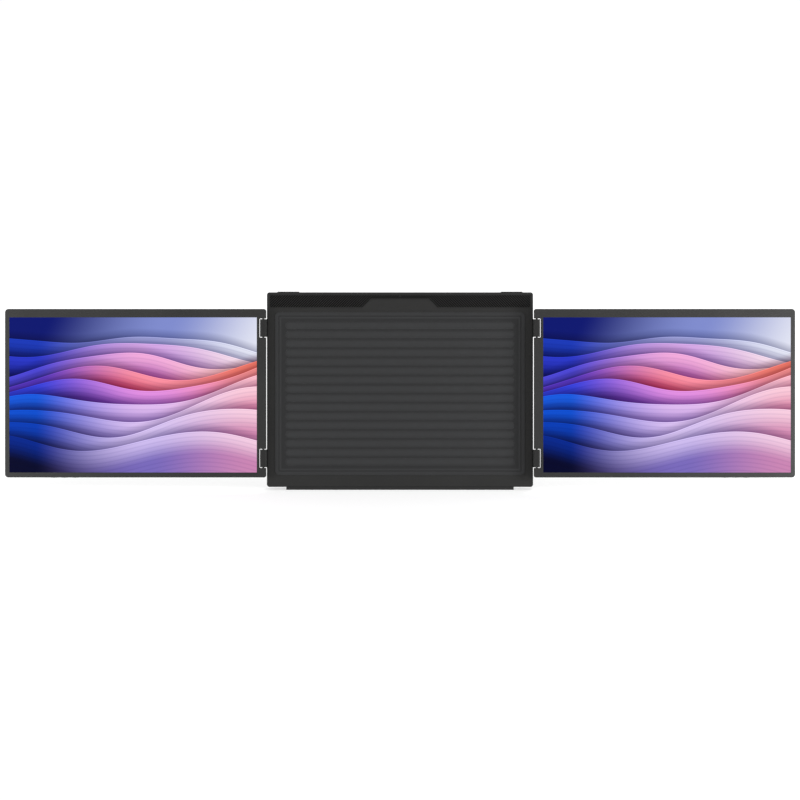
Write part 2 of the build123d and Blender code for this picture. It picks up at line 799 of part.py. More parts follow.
def make_bezel(side, screen_front):
    """Front frame round the panel, with the screws' bosses behind it."""
    with BuildPart() as bezel:
        with BuildSketch(face(screen_front + bezel_thickness)):
            add(screen_outline(side))
            with Locations((side * lit_mid_x, lit_mid_height)):
                Rectangle(lit_width, lit_height, mode=Mode.SUBTRACT)
        extrude(amount=bezel_thickness)
        chamfer(bezel.faces().sort_by(FORWARD)[-1].outer_wire().edges(), screen_edge)
        with BuildSketch(face(screen_front + screen_depth - screen_rear_wall)):
            with Locations(*[(from_inner(side, d), h) for d, h in screen_screw_places]):
                Circle(screen_boss_radius)
                Circle(screen_screw_radius + screw_clearance, mode=Mode.SUBTRACT)
        extrude(amount=screen_depth - screen_rear_wall - bezel_thickness)
    return bezel


def make_screen_cover(side, screen_front):
    """Rear tray of a side screen, with holes for the hinge pins, screws and buttons."""
    screen_back = screen_front + screen_depth
    axis_depth = screen_front + axis_behind_front
    with BuildPart() as cover:
        with BuildSketch(face(screen_back)):
            add(screen_outline(side))
        extrude(amount=screen_depth - bezel_thickness)
        chamfer(cover.faces().sort_by(FORWARD)[0].edges(), screen_edge)
        with BuildSketch(face(screen_back - screen_rear_wall)):
            add(screen_outline(side, screen_side_wall))
        extrude(amount=screen_depth - bezel_thickness - screen_rear_wall, mode=Mode.SUBTRACT)
        with BuildSketch(face(screen_back)):
            with Locations(*[(from_inner(side, d), h) for d, h in screen_screw_places]):
                Circle(screen_screw_radius + screw_clearance)
        extrude(amount=screen_rear_wall, mode=Mode.SUBTRACT)
        with BuildSketch(face(screen_back)):
            with Locations(*[(from_inner(side, d), h) for d, h in screen_screw_places]):
                Circle(screen_head_radius + screw_clearance)
        extrude(amount=screen_head_height, mode=Mode.SUBTRACT)
        for height in hinge_heights:
            reach = hinge_height / 2 + hinge_end_gap + screen_side_wall
            with BuildSketch(level(height - reach)):
                with Locations((side * axis_x, axis_depth)):
                    Circle(pin_radius + pin_running)
            extrude(amount=2 * reach, mode=Mode.SUBTRACT)
        with BuildSketch(level(screen_bottom)):
            for distance in button_distances.values():
                with Locations((from_inner(side, distance), screen_front + button_behind_front)):
                    SlotOverall(button_length + 2 * button_fit, button_thickness + 2 * button_fit)
        extrude(amount=screen_side_wall, mode=Mode.SUBTRACT)
    return cover


def make_panel(side, panel_front, thickness):
    """One flat layer of the display, a little larger than the bezel's window."""
    with BuildPart() as panel:
        with BuildSketch(face(panel_front + thickness)):
            with Locations((side * lit_mid_x, lit_mid_height)):
                Rectangle(lit_width + 2 * panel_lap, lit_height + 2 * panel_lap)
        extrude(amount=thickness)
    return panel


def make_driver_board(side, screen_front):
    """Signal board in the strip above the panel."""
    board_seat = screen_front + screen_depth - screen_rear_wall
    with BuildPart() as board:
        with BuildSketch(face(board_seat)):
            with Locations((from_inner(side, driver_inset + driver_length / 2), upper_strip)):
                Rectangle(driver_length, driver_width)
        extrude(amount=driver_thickness)
        with BuildSketch(face(board_seat - driver_thickness)):
            with Locations((from_inner(side, driver_inset + driver_length / 2), upper_strip)):
                with GridLocations(driver_chip_pitch, 1, driver_chip_count, 1):
                    Rectangle(driver_chip_length, driver_chip_width)
        extrude(amount=driver_thickness)
    return board


def make_key_board(side, screen_front):
    """Narrow board under the panel with one side-push switch above each button."""
    board_seat = screen_front + screen_depth - screen_rear_wall
    board_top = screen_bottom + bezel_bottom - panel_lap - key_board_gap
    length = 2 * (button_pitch + key_board_margin)
    with BuildPart() as board:
        with BuildSketch(face(board_seat)):
            mid_x = from_inner(side, button_distances["plus"])
            with Locations((mid_x, (board_top + switch_bottom) / 2)):
                Rectangle(length, board_top - switch_bottom)
        extrude(amount=driver_thickness)
        with BuildSketch(face(board_seat - driver_thickness)):
            for distance in button_distances.values():
                with Locations((from_inner(side, distance), (board_top + switch_bottom) / 2)):
                    Rectangle(switch_width, board_top - switch_bottom)
        extrude(amount=switch_depth)
    return board


def make_pins(side, axis_depth):
    """The two steel pins that a side screen turns on."""
    length = hinge_height + 2 * (hinge_end_gap + screen_side_wall + bracket_length)
    with BuildPart() as pins:
        for height in hinge_heights:
            with BuildSketch(level(height - length / 2)):
                with Locations((side * axis_x, axis_depth)):
                    Circle(pin_radius)
            extrude(amount=length)
    return pins


def make_brackets(side, axis_depth):
    """Steel blocks inside a side screen that grip the ends of its hinge pins."""
    bracket_front = axis_depth - axis_behind_front + bezel_thickness
    bracket_depth = screen_depth - bezel_thickness - screen_rear_wall
    mid_x = from_inner(side, screen_side_wall + grille_fit + bracket_width / 2)
    with BuildPart() as brackets:
        for height in hinge_heights:
            for end in (-1, 1):
                start = hinge_height / 2 + hinge_end_gap + screen_side_wall
                base = height + (start if end > 0 else -start - bracket_length)
                with BuildSketch(level(base)):
                    with Locations((mid_x, bracket_front + bracket_depth / 2)):
                        Rectangle(bracket_width, bracket_depth)
                    with Locations((side * axis_x, axis_depth)):
                        Circle(pin_radius + pin_seat, mode=Mode.SUBTRACT)
                extrude(amount=bracket_length)
    return brackets


def make_screen_screws(side, screen_front):
    """Small flat-headed screws of a side screen's rear cover."""
    screen_back = screen_front + screen_depth
    spots = [(from_inner(side, d), h) for d, h in screen_screw_places]
    with BuildPart() as screws:
        with BuildSketch(face(screen_back)):
            with Locations(*spots):
                Circle(screen_head_radius)
        extrude(amount=screen_head_height)
        with BuildSketch(face(screen_back - screen_head_height)):
            with Locations(*spots):
                Circle(screen_screw_radius)
        extrude(amount=screen_depth - bezel_thickness - screen_head_height)
    return screws


def make_button(side, screen_front, distance):
    """A button in a side screen's lower edge: its cap, and the flange that holds it in."""
    place = (from_inner(side, distance), screen_front + button_behind_front)
    with BuildPart() as button:
        with BuildSketch(level(screen_bottom - button_proud)):
            with Locations(place):
                SlotOverall(button_length, button_thickness)
        extrude(amount=button_proud + screen_side_wall)
        with BuildSketch(level(screen_bottom + screen_side_wall)):
            with Locations(place):
                SlotOverall(button_length + 2 * flange_extra, button_thickness + flange_extra)
        extrude(amount=flange_thickness)
        chamfer(button.faces().sort_by(UPWARD)[0].edges(), button_edge)
    return button


for name, side, screen_front in (("left", -1, left_front), ("right", 1, right_front)):
    axis_depth = screen_front + axis_behind_front
    panel_front = screen_front + bezel_thickness
    save(make_bezel(side, screen_front), f"{name}_bezel")
    save(make_screen_cover(side, screen_front), f"{name}_screen_cover")
    save(make_panel(side, panel_front, panel_thickness), f"{name}_lcd_panel")
    save(make_panel(side, panel_front + panel_thickness, backlight_thickness), f"{name}_backlight")
    save(make_driver_board(side, screen_front), f"{name}_driver_board")
    save(make_key_board(side, screen_front), f"{name}_key_board")
    save(make_pins(side, axis_depth), f"{name}_hinge_pins")
    save(make_brackets(side, axis_depth), f"{name}_hinge_brackets")
    save(make_screen_screws(side, screen_front), f"{name}_screen_screws")
    for button, distance in button_distances.items():
        save(make_button(side, screen_front, distance), f"{name}_{button}_button")

# ---------------------------------------------------------------- kickstand
stand_axis = point(0, stand_axis_depth, stand_axis_height)
leaf_mid_offset = leaf_thickness / 2 - leaf_front_offset
swing_cos, swing_sin = cos(radians(stand_swing)), sin(radians(stand_swing))
leaf_reach = (stand_axis.Z + leaf_mid_offset * swing_sin - stand_foot_radius) / swing_cos
leaf_bottom = stand_foot_height - leaf_reach
leaf_top = -stand_bracket_half_height - leaf_gap
LEAF_FRONT = Vector(0, -swing_cos, -swing_sin)


def along_leaf(behind):
    """Sketch plane along the leaf, behind its axis: x right, y up; extrusions come forward."""
    return Plane(origin=stand_axis - LEAF_FRONT * behind, x_dir=RIGHT, z_dir=LEAF_FRONT)


def across_leaf(x):
    """Sketch plane seen from the side at the leaf's axis: x back, y up; extrusions go right."""
    return Plane(origin=stand_axis + RIGHT * x, x_dir=-LEAF_FRONT, z_dir=RIGHT)


with BuildPart() as stand_leaf:
    with BuildSketch(along_leaf(leaf_thickness - leaf_front_offset)) as leaf_face:
        with Locations((0, (leaf_top + leaf_bottom) / 2)):
            Rectangle(leaf_width, leaf_top - leaf_bottom)
        fillet(leaf_face.vertices().group_by(Axis.Y)[-1], leaf_corner_radius)
        with Locations((-knuckle_x, leaf_top / 2), (knuckle_x, leaf_top / 2)):
            Rectangle(knuckle_length, -leaf_top)
    extrude(amount=leaf_thickness)
    for x in (-knuckle_x, knuckle_x):
        with BuildSketch(across_leaf(x - knuckle_length / 2)):
            Circle(knuckle_radius)
        extrude(amount=knuckle_length)
        with BuildSketch(across_leaf(x - knuckle_length / 2)):
            Circle(stand_pin_radius + pin_running)
        extrude(amount=knuckle_length, mode=Mode.SUBTRACT)
save(stand_leaf, "stand_leaf")

with BuildPart() as stand_foot:
    with BuildSketch(across_leaf(-leaf_width / 2)):
        with Locations((leaf_mid_offset, leaf_bottom - stand_foot_height / 2)):
            Rectangle(2 * stand_foot_radius, stand_foot_height)
        with Locations((leaf_mid_offset, -leaf_reach)):
            Circle(stand_foot_radius)
    extrude(amount=leaf_width)
save(stand_foot, "stand_foot")

with BuildPart() as stand_brackets:
    for x in (-knuckle_x, knuckle_x):
        for end in (-1, 1):
            gap = knuckle_length / 2 + stand_bracket_gap
            start = x + (gap if end > 0 else -gap - stand_bracket_length)
            with BuildSketch(side_on(start)):
                with Locations(((knuckle_floor + rear) / 2, stand_axis_height)):
                    Rectangle(rear - knuckle_floor, 2 * stand_bracket_half_height)
                with Locations((stand_axis_depth, stand_axis_height)):
                    Circle(knuckle_radius)
                    Circle(stand_pin_radius + pin_seat, mode=Mode.SUBTRACT)
            extrude(amount=stand_bracket_length)
save(stand_brackets, "stand_brackets")

with BuildPart() as stand_pins:
    pin_length = knuckle_length + 2 * (stand_bracket_gap + stand_bracket_length)
    for x in (-knuckle_x, knuckle_x):
        with BuildSketch(side_on(x - pin_length / 2)):
            with Locations((stand_axis_depth, stand_axis_height)):
                Circle(stand_pin_radius)
        extrude(amount=pin_length)
save(stand_pins, "stand_pins")
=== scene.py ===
import json
from math import cos, pi, radians, sin

import bpy
from mathutils import Matrix, Vector


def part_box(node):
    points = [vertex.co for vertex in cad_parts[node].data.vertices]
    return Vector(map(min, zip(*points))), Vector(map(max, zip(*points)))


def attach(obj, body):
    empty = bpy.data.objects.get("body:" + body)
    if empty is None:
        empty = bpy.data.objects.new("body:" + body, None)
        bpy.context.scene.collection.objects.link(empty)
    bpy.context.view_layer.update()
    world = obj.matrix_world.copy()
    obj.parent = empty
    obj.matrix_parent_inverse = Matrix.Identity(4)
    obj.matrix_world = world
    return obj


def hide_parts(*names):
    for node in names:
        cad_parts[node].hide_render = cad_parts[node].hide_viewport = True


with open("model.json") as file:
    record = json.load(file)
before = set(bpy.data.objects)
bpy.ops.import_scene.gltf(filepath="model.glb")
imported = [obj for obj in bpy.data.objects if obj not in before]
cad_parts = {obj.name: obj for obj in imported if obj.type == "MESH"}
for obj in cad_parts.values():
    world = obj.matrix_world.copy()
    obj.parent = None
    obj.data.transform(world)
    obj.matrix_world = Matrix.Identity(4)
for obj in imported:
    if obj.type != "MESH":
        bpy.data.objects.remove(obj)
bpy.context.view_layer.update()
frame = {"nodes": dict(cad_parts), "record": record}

# A laptop screen extender: a body that a laptop's lid lies against, and two lit screens hinged to
# its sides. Everything is in metres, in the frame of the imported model.

MM = 0.001

# ---------------------------------------------------------------- places worked out from the frame
mounts = {mount["name"]: mount for mount in frame["record"]["mounts"]}
RIGHT = Vector((1, 0, 0))
FACING = Vector(mounts["lid_face"]["axis"]).normalized()   # out of the leaning panel, to the viewer
UP = FACING.cross(RIGHT)                                   # up the leaning panel
PAD_FACE = Vector(mounts["lid_face"]["pos_m"])             # middle of the face that a lid touches


def middle(node):
    """Middle of a CAD node's box."""
    low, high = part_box(node)
    return (low + high) / 2


screens_middle = (middle("left_bezel") + middle("right_bezel")) / 2


# ---------------------------------------------------------------- node helpers
MIX_SHARE, MIX_FIRST, MIX_SECOND, MIX_RESULT = 0, 6, 7, 2  # a mix node's sockets for colours
NOISE_LOW, NOISE_HIGH = 0.3, 0.7        # nearly all of a noise texture lies between these
EDGE_STARTS, EDGE_FULL = 0.97, 0.75     # cosine between the rounded and the flat normal
EDGE_SAMPLES = 6


def feed(tree, node, inputs):
    """Sets a node's inputs, given as numbers and colours or as other nodes' outputs."""
    for key, value in inputs.items():
        if isinstance(value, bpy.types.NodeSocket):
            tree.links.new(value, node.inputs[key])
        else:
            node.inputs[key].default_value = value


def add(tree, kind, inputs=None, **settings):
    """A new shader node with its settings and inputs."""
    made = tree.nodes.new(kind)
    for key, value in settings.items():
        setattr(made, key, value)
    feed(tree, made, inputs or {})
    return made


def maths(tree, operation, *values):
    """Output of one math node."""
    return add(tree, "ShaderNodeMath", dict(enumerate(values)), operation=operation).outputs[0]


def ramp(tree, value, places, colours, interpolation="LINEAR"):
    """Colour ramp output, with a colour at each of its places."""
    made = add(tree, "ShaderNodeValToRGB", {"Fac": value})
    made.color_ramp.interpolation = interpolation
    elements = made.color_ramp.elements
    while len(elements) < len(places):
        elements.new(1.0)
    for element, position, colour in zip(elements, places, colours):
        element.position = position
        element.color = (*colour, 1.0)
    return made.outputs["Color"]


def blend_colour(tree, share, first, second, mode="MIX"):
    """Mixes two colours, each an output or an RGB triple."""
    inputs = {MIX_SHARE: share}
    for key, colour in ((MIX_FIRST, first), (MIX_SECOND, second)):
        inputs[key] = (*colour, 1.0) if isinstance(colour, tuple) else colour
    return add(tree, "ShaderNodeMix", inputs, data_type="RGBA", blend_type=mode).outputs[MIX_RESULT]


def remap(tree, value, low, high, to_low, to_high, interpolation="LINEAR"):
    """Map range, clamped."""
    inputs = {0: value, 1: low, 2: high, 3: to_low, 4: to_high}
    return add(tree, "ShaderNodeMapRange", inputs, interpolation_type=interpolation).outputs[0]


def spread(tree, fac, to_low=0.0, to_high=1.0):
    """Brings a noise's own range to another one."""
    return remap(tree, fac, NOISE_LOW, NOISE_HIGH, to_low, to_high)


def srgb(red, green, blue):
    """Linear colour of an 8-bit display colour."""
    def linear(level):
        level /= 255
        return level / 12.92 if level <= 0.04045 else ((level + 0.055) / 1.055) ** 2.4
    return tuple(linear(level) for level in (red, green, blue))


def times(colour, factor):
    """A colour made brighter or darker, no part of it over 1."""
    return tuple(min(1.0, factor * part) for part in colour)


def varied(tree, fac, colour, darkest, palest):
    """A colour that varies between two multiples of itself."""
    return blend_colour(tree, fac, times(colour, darkest), times(colour, palest))


def laid_over(tree, mask, share, under, over):
    """Lays a colour over another where a mask is, up to a share of it."""
    return blend_colour(tree, maths(tree, "MULTIPLY", mask, share), under, over)


def material(name):
    """A new material, its node tree and its shader."""
    made = bpy.data.materials.new(name)
    made.use_nodes = True
    return made, made.node_tree, made.node_tree.nodes["Principled BSDF"]


def place(tree, stretch=None):
    """Object coordinates in metres, which may be stretched along each axis."""
    coordinates = add(tree, "ShaderNodeTexCoord").outputs["Object"]
    if stretch is None:
        return coordinates
    return add(tree, "ShaderNodeMapping", {"Vector": coordinates, "Scale": stretch}).outputs["Vector"]


def reach(tree, spot, direction):
    """How far a point lies along a direction."""
    inputs = {0: spot, 1: tuple(direction)}
    return add(tree, "ShaderNodeVectorMath", inputs, operation="DOT_PRODUCT").outputs["Value"]


def noise(tree, size, detail=2.0, stretch=None):
    """Noise whose blobs are about size metres across."""
    inputs = {"Vector": place(tree, stretch), "Scale": 1 / size, "Detail": detail}
    return add(tree, "ShaderNodeTexNoise", inputs).outputs["Fac"]


def dots(tree, scale):
    """Distance to the nearest of scattered points, about scale of them to a metre."""
    inputs = {"Vector": place(tree), "Scale": scale}
    return add(tree, "ShaderNodeTexVoronoi", inputs).outputs["Distance"]


def stripes(tree, scale, direction):
    """Soft stripes that follow each other along one axis."""
    inputs = {"Vector": place(tree), "Scale": scale}
    return add(tree, "ShaderNodeTexWave", inputs, bands_direction=direction).outputs["Fac"]


def edges(tree, radius):
    """A normal rounded over sharp edges, and a mask that is 1 along them."""
    rounded = add(tree, "ShaderNodeBevel", {"Radius": radius}, samples=EDGE_SAMPLES).outputs["Normal"]
    flat = add(tree, "ShaderNodeNewGeometry").outputs["Normal"]
    along = add(tree, "ShaderNodeVectorMath", {0: rounded, 1: flat}, operation="DOT_PRODUCT")
    return rounded, remap(tree, along.outputs["Value"], EDGE_STARTS, EDGE_FULL, 0.0, 1.0)


def bump(tree, height, distance, strength=1.0, normal=None):
    """A normal bent by a height, over a flat or a rounded one."""
    inputs = {"Height": height, "Distance": distance, "Strength": strength}
    if normal is not None:
        inputs["Normal"] = normal
    return add(tree, "ShaderNodeBump", inputs).outputs["Normal"]


# ---------------------------------------------------------------- finishes
def moulded(name, colour, roughness=0.62, grain=0.7 * MM, depth=0.12 * MM, specular=0.4):
    """Moulded plastic: a spark-eroded grain, faint clouds, and edges rubbed a little paler."""
    made, tree, shader = material(name)
    fine = noise(tree, grain, 3.0)
    clouds = noise(tree, 45 * MM, 3.0)
    rounded, rubbed = edges(tree, 0.5 * MM)
    tone = varied(tree, spread(tree, clouds), colour, 0.93, 1.07)
    speckle = blend_colour(tree, remap(tree, fine, 0.42, 0.66, 0.0, 0.45), tone, times(colour, 1.6))
    patchy = maths(tree, "MULTIPLY", rubbed, remap(tree, noise(tree, 6 * MM), 0.35, 0.65, 0.35, 1.0))
    surface_colour = laid_over(tree, patchy, 0.6, speckle, times(colour, 1.25))
    feed(tree, shader, {"Base Color": surface_colour,
                        "Roughness": spread(tree, fine, roughness - 0.07, roughness + 0.07),
                        "Normal": bump(tree, fine, depth, 0.9, rounded),
                        "Specular IOR Level": specular})
    return made


def anodised(name, colour, roughness=0.42, metallic=0.65, specular=0.5):
    """Bead-blasted, anodised metal: a fine sparkle and slightly brighter edges."""
    made, tree, shader = material(name)
    blast = noise(tree, 0.22 * MM)
    clouds = noise(tree, 60 * MM)
    rounded, rubbed = edges(tree, 0.4 * MM)
    tone = varied(tree, spread(tree, clouds), colour, 0.97, 1.03)
    sparkle = blend_colour(tree, remap(tree, blast, 0.45, 0.75, 0.0, 0.5), tone, times(colour, 1.8))
    surface_colour = laid_over(tree, rubbed, 0.5, sparkle, times(colour, 2.2))
    feed(tree, shader, {"Base Color": surface_colour,
                        "Roughness": spread(tree, blast, roughness - 0.06, roughness + 0.08),
                        "Normal": bump(tree, blast, 0.01 * MM, 0.5, rounded),
                        "Metallic": metallic,
                        "Specular IOR Level": specular})
    return made


def steel(name, colour, roughness=0.32, brush=(1, 1, 12)):
    """Brushed or plated steel: fine lines one way, with a few darker rub marks."""
    made, tree, shader = material(name)
    lines = noise(tree, 0.5 * MM, 3.0, brush)
    rubs = noise(tree, 2.5 * MM, 3.0)
    rounded, bright = edges(tree, 0.25 * MM)
    tone = varied(tree, spread(tree, lines), colour, 0.8, 1.15)
    rubbed = blend_colour(tree, remap(tree, rubs, 0.5, 0.75, 0.0, 0.35), tone, times(colour, 0.55))
    surface_colour = laid_over(tree, bright, 0.5, rubbed, times(colour, 1.6))
    feed(tree, shader, {"Base Color": surface_colour,
                        "Roughness": spread(tree, rubs, roughness - 0.08, roughness + 0.12),
                        "Normal": bump(tree, lines, 0.01 * MM, 0.5, rounded),
                        "Metallic": 1.0})
    return made


def rubber(name, colour, roughness=0.85, grain=0.8 * MM, painted_shade_depth=0.0):
    """Soft rubber or silicone: matte, finely pitted and with a dusty bloom. If a depth is given, shade
    is painted into its hollows: it gets darker towards that depth behind the face that a lid touches."""
    made, tree, shader = material(name)
    pits = dots(tree, 1 / grain)
    bloom = noise(tree, 12 * MM, 4.0)
    rounded, rubbed = edges(tree, 0.4 * MM)
    tone = varied(tree, remap(tree, bloom, 0.35, 0.75, 0.0, 1.0), colour, 1.0, 1.45)
    surface_colour = laid_over(tree, rubbed, 0.5, tone, times(colour, 1.7))
    # Painted shade: whatever lies deeper behind the pad's face, such as its groove and the field between
    # its ribs, is darkened.
    if painted_shade_depth:
        face_at = FACING.dot(PAD_FACE)
        sunk = remap(tree, reach(tree, place(tree), FACING), face_at, face_at - painted_shade_depth, 0.0, 1.0)
        surface_colour = blend_colour(tree, sunk, surface_colour, (0.35, 0.35, 0.36), "MULTIPLY")
    feed(tree, shader, {"Base Color": surface_colour,
                        "Roughness": spread(tree, bloom, roughness - 0.08, roughness + 0.06),
                        "Normal": bump(tree, pits, 0.06 * MM, 0.5, rounded),
                        "Specular IOR Level": 0.3,
                        "Sheen Weight": 0.15,
                        "Sheen Roughness": 0.5})
    return made


def circuit(name):
    """Green solder mask over copper tracks, with tinned pads."""
    made, tree, shader = material(name)
    inputs = {"Vector": place(tree), "Scale": 260.0, "Mortar Size": 0.06, "Brick Width": 1.6}
    tracks = add(tree, "ShaderNodeTexBrick", inputs).outputs["Fac"]
    masked = blend_colour(tree, tracks, srgb(10, 66, 40), srgb(34, 104, 60))
    pads = remap(tree, dots(tree, 420.0), 0.16, 0.12, 0.0, 1.0)
    feed(tree, shader, {"Base Color": blend_colour(tree, pads, masked, srgb(196, 190, 170)),
                        "Roughness": 0.35,
                        "Normal": bump(tree, tracks, 0.03 * MM)})
    return made


def film(name):
    """Amber cable film with copper conductors showing through."""
    made, tree, shader = material(name)
    lines = stripes(tree, 330.0, "Z")
    colours = (srgb(150, 84, 22), srgb(176, 104, 34), srgb(214, 140, 70), srgb(226, 150, 84))
    feed(tree, shader, {"Base Color": ramp(tree, lines, (0.0, 0.5, 0.62, 1.0), colours),
                        "Roughness": 0.28,
                        "Normal": bump(tree, lines, 0.03 * MM)})
    return made


def woven_mesh(name):
    """Black woven dust mesh behind the slots: its own black, made darker still as painted shade in the
    slots.
    """
    made, tree, shader = material(name)
    weave = maths(tree, "MAXIMUM", stripes(tree, 380.0, "X"), stripes(tree, 380.0, "Z"))
    # Near black: the mesh's own black with painted shade of the slots on top of it.
    colours = ((0.0006, 0.0006, 0.0006), (0.005, 0.005, 0.005))
    feed(tree, shader, {"Base Color": ramp(tree, weave, (0.45, 0.9), colours),
                        "Roughness": 0.8,
                        "Normal": bump(tree, weave, 0.15 * MM),
                        "Specular IOR Level": 0.04})
    return made


def light_guide(name):
    """White acrylic guide printed with a fine dot pattern."""
    made, tree, shader = material(name)
    clear = remap(tree, dots(tree, 700.0), 0.2, 0.3, 0.0, 1.0)
    feed(tree, shader, {"Base Color": blend_colour(tree, clear, (0.9, 0.9, 0.9), (0.7, 0.72, 0.75)),
                        "Roughness": 0.2})
    return made


def frosted_light(name):
    """Frosted light pipe that glows softly."""
    made, tree, shader = material(name)
    glow = blend_colour(tree, noise(tree, 0.3 * MM), srgb(120, 220, 255), srgb(200, 245, 255))
    feed(tree, shader, {"Base Color": glow,
                        "Emission Color": glow,
                        "Emission Strength": 0.8,
                        "Roughness": 0.5})
    return made


# ---------------------------------------------------------------- the picture on the screens
# Its sky, and its waves from the farthest to the nearest. A wave has its crest's height in the
# middle and how much it rises from left to right; a swell and a ripple, each as size, count across
# and start in turns; how deep its shading reaches; and its colours along the crest and deep below
# it, each at the left, in the middle and at the right. Lengths are shares of the picture's width.
LIT_WIDTH = 326.3 * MM          # width of the picture
SKY = (srgb(10, 22, 112), srgb(128, 140, 206), srgb(234, 236, 247))
SKY_PLACES = (0.0, 0.5, 1.0)    # of its three colours, from the left
SKY_SLANT = -0.5                # a step up counts as half a step to the left
WAVES = [
    (0.215, -0.09, (0.034, 0.8, 0.08), (0.004, 2.6, 0.30), 0.10,
     (srgb(26, 58, 186), srgb(168, 172, 226), srgb(228, 230, 244)),
     (srgb(4, 14, 100), srgb(108, 108, 190), srgb(190, 194, 226))),
    (0.178, -0.03, (0.036, 0.9, 0.20), (0.005, 2.2, 0.60), 0.09,
     (srgb(42, 56, 202), srgb(214, 168, 230), srgb(250, 226, 236)),
     (srgb(8, 12, 106), srgb(138, 92, 188), srgb(224, 182, 208))),
    (0.132, 0.04, (0.042, 1.0, 0.34), (0.006, 2.4, 0.10), 0.10,
     (srgb(78, 72, 216), srgb(246, 174, 222), srgb(255, 208, 196)),
     (srgb(16, 12, 118), srgb(166, 80, 170), srgb(246, 116, 114))),
    (0.088, 0.08, (0.042, 1.1, 0.48), (0.005, 2.0, 0.45), 0.08,
     (srgb(96, 60, 204), srgb(255, 148, 166), srgb(255, 130, 110)),
     (srgb(30, 12, 114), srgb(206, 58, 96), srgb(222, 34, 46))),
    (0.046, 0.10, (0.044, 1.0, 0.57), (0.006, 2.3, 0.75), 0.09,
     (srgb(54, 66, 222), srgb(230, 146, 228), srgb(255, 150, 146)),
     (srgb(6, 12, 110), srgb(126, 58, 172), srgb(210, 50, 84))),
    (-0.004, 0.10, (0.046, 0.9, 0.66), (0.005, 2.1, 0.20), 0.10,
     (srgb(22, 92, 226), srgb(226, 190, 242), srgb(255, 190, 204)),
     (srgb(2, 14, 98), srgb(140, 98, 190), srgb(224, 104, 140))),
    (-0.060, 0.09, (0.048, 1.0, 0.74), (0.006, 1.8, 0.55), 0.10,
     (srgb(10, 80, 210), srgb(222, 196, 243), srgb(254, 206, 220)),
     (srgb(0, 10, 78), srgb(132, 106, 192), srgb(222, 130, 166))),
    (-0.118, 0.06, (0.044, 1.1, 0.84), (0.005, 2.2, 0.90), 0.11,
     (srgb(4, 62, 184), srgb(216, 196, 242), srgb(250, 208, 226)),
     (srgb(0, 4, 58), srgb(126, 108, 190), srgb(212, 136, 176))),
    (-0.186, 0.02, (0.036, 1.2, 0.95), (0.004, 2.0, 0.35), 0.10,
     (srgb(2, 40, 142), srgb(208, 190, 241), srgb(246, 206, 228)),
     (srgb(0, 2, 42), srgb(122, 106, 188), srgb(204, 134, 180))),
]
WAVE_PLACES = (0.1, 0.56, 1.0)  # of a wave's three colours, from the left
CREST_BLUR = 0.0012             # softness of a crest's outline
CAST_SHADOW = 0.035             # how far a wave's shadow reaches onto the one behind
SHADOW_SHARE = 0.55
SHADOW_TINT = 0.4               # times the wave's own deep colour in the middle
STRAND_PITCH = 0.017            # fine strands that follow each crest
STRAND_SHARE = 0.22
STRAND_TINT = (0.45, 0.45, 0.6)
RIM_WIDTH = 0.004               # bright rim of a crest
RIM_SHARE = 0.55


def swell(tree, across, size, count, start):
    """Height of one sine over the picture's width."""
    angle = maths(tree, "MULTIPLY_ADD", across, 2 * pi * count, 2 * pi * start)
    return maths(tree, "MULTIPLY", maths(tree, "SINE", angle), size)


def wave_layer(tree, below, depth, crest, deep):
    """One wave's colour: shaded down to a depth below its crest, with strands and a bright rim."""
    sunk = remap(tree, below, 0.0, depth, 0.0, 1.0, "SMOOTHSTEP")
    layer = blend_colour(tree, sunk, crest, deep)
    strand = maths(tree, "SINE", maths(tree, "MULTIPLY", below, 2 * pi / STRAND_PITCH))
    strand_share = remap(tree, strand, 0.2, 1.0, 0.0, STRAND_SHARE)
    layer = blend_colour(tree, strand_share, layer, STRAND_TINT, "MULTIPLY")
    return blend_colour(tree, remap(tree, below, 0.0, RIM_WIDTH, RIM_SHARE, 0.0), layer, crest, "ADD")


def picture(tree, centre):
    """Layered waves under a sky that gets paler to the right, drawn in the panel's own plane. Places
    in it are measured from its centre, in shares of its width."""
    inputs = {0: place(tree), 1: tuple(centre)}
    offset = add(tree, "ShaderNodeVectorMath", inputs, operation="SUBTRACT").outputs["Vector"]
    across = reach(tree, offset, RIGHT / LIT_WIDTH)
    height = reach(tree, offset, UP / LIT_WIDTH)
    from_left = maths(tree, "ADD", across, 0.5)
    sky_at = maths(tree, "MULTIPLY_ADD", height, SKY_SLANT, from_left)
    colour = ramp(tree, sky_at, SKY_PLACES, SKY, "EASE")
    for base, rise, main, ripple, depth, crest, deep in WAVES:
        line = maths(tree, "MULTIPLY_ADD", across, rise, base)
        line = maths(tree, "ADD", line, swell(tree, across, *main))
        line = maths(tree, "ADD", line, swell(tree, across, *ripple))
        below = maths(tree, "SUBTRACT", line, height)
        shadow = remap(tree, below, -CAST_SHADOW, 0.0, 0.0, SHADOW_SHARE)
        colour = blend_colour(tree, shadow, colour, times(deep[1], SHADOW_TINT), "MULTIPLY")
        layer = wave_layer(tree, below, depth, ramp(tree, from_left, WAVE_PLACES, crest, "EASE"),
                           ramp(tree, from_left, WAVE_PLACES, deep, "EASE"))
        colour = blend_colour(tree, remap(tree, below, 0.0, CREST_BLUR, 0.0, 1.0), colour, layer)
    return colour


def display(name, centre):
    """Lit picture under a satin polariser."""
    made, tree, shader = material(name)
    feed(tree, shader, {"Base Color": (0.001, 0.001, 0.001, 1.0),
                        "Roughness": 0.35,
                        "Specular IOR Level": 0.02,
                        "Emission Color": picture(tree, centre),
                        "Emission Strength": 1.0})
    return made


